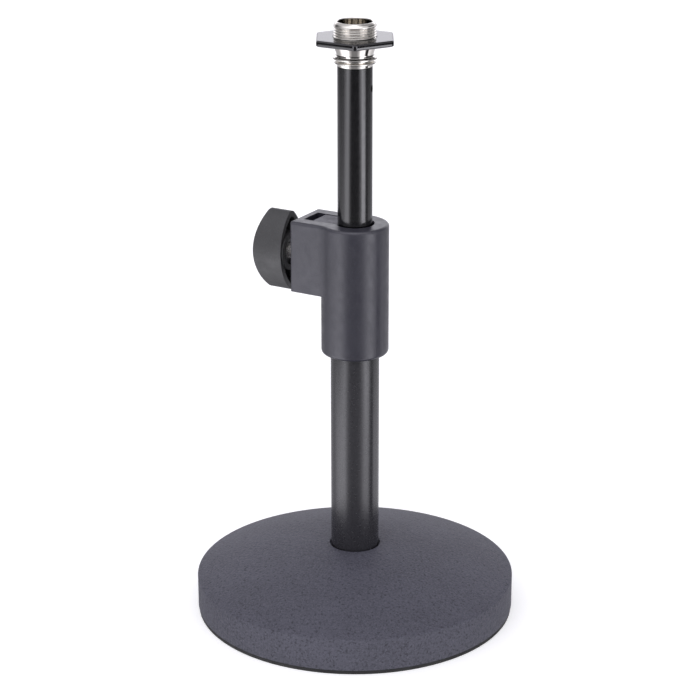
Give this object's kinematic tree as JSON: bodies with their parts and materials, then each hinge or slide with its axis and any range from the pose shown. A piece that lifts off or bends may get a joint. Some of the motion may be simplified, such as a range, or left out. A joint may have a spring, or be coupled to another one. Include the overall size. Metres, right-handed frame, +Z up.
{
  "type": "desktop microphone stand",
  "caption": "Desk stand for a microphone: heavy round base, telescoping tube with a side clamp knob, and a threaded top stud with a thin lock nut.",
  "frame": {"origin": "centre of the base's underside, on the table", "axes": "+Z up along the tubes' shared axis; the clamp knob points along -X"},
  "size_m": [0.1242, 0.1242, 0.2334],
  "materials": {
    "base_coat": "fine textured powder coat, satin",
    "black_rubber": "matte",
    "zinc_steel": "zinc plated",
    "plug_steel": "plain turned steel",
    "tube_coat": "satin powder coat",
    "clutch_plastic": "matte moulded nylon",
    "bush_plastic": "natural acetal",
    "black_steel": "black oxide",
    "shoe_plastic": "matte moulded nylon",
    "knob_plastic": "fine-grained moulded nylon",
    "spring_steel": "phosphated spring steel",
    "tube_gloss": "gloss black",
    "bright_nickel": "bright nickel plate",
    "nut_gloss": "gloss black plated"
  },
  "bodies": {
    "stand": {"base_casting": "base_coat", "base_rubber_ring": "black_rubber", "base_flat_washer": "zinc_steel", "base_spring_washer": "zinc_steel", "base_bolt": "zinc_steel", "tube_foot_plug": "plug_steel", "lower_tube": "tube_coat", "clutch_body": "clutch_plastic", "clutch_stop_ring": "bush_plastic", "clutch_set_screw": "black_steel", "clamp_nut": "zinc_steel"},
    "guide_bush": {"tube_guide_bush": "bush_plastic"},
    "mast": {"upper_tube": "tube_gloss", "bush_circlips": "spring_steel", "threaded_adapter": "bright_nickel", "adapter_pin": "black_steel"},
    "lock_nut": {"hex_lock_nut": "nut_gloss"},
    "shoe": {"pressure_shoe": "shoe_plastic"},
    "knob": {"knob_body": "knob_plastic", "knob_cap": "knob_plastic", "clamp_screw": "zinc_steel", "knob_retaining_washer": "spring_steel"}
  },
  "joints": [
    {"name": "mast_slide", "type": "slide", "parent": "stand", "child": "guide_bush", "axis": [0, 0, 1], "range_m": [-0.004, 0.0866]},
    {"name": "mast_turn", "type": "hinge", "parent": "guide_bush", "child": "mast", "pos_m": [0, 0, 0.1], "axis": [0, 0, 1], "continuous": true},
    {"name": "lock_nut_turn", "type": "hinge", "parent": "mast", "child": "lock_nut", "pos_m": [0, 0, 0.2266], "axis": [0, 0, 1], "continuous": true},
    {"name": "shoe_slide", "type": "slide", "parent": "stand", "child": "shoe", "axis": [-1, 0, 0], "range_m": [0, 0.00121]},
    {"name": "knob_turn", "type": "hinge", "parent": "shoe", "child": "knob", "pos_m": [-0.0279, 0, 0.1421], "axis": [-1, 0, 0], "range_deg": [0, 432]}
  ],
  "couplings": [
    {"joint": "shoe_slide", "follows": "knob_turn", "m_per_rad": 0.00015915}
  ]
}
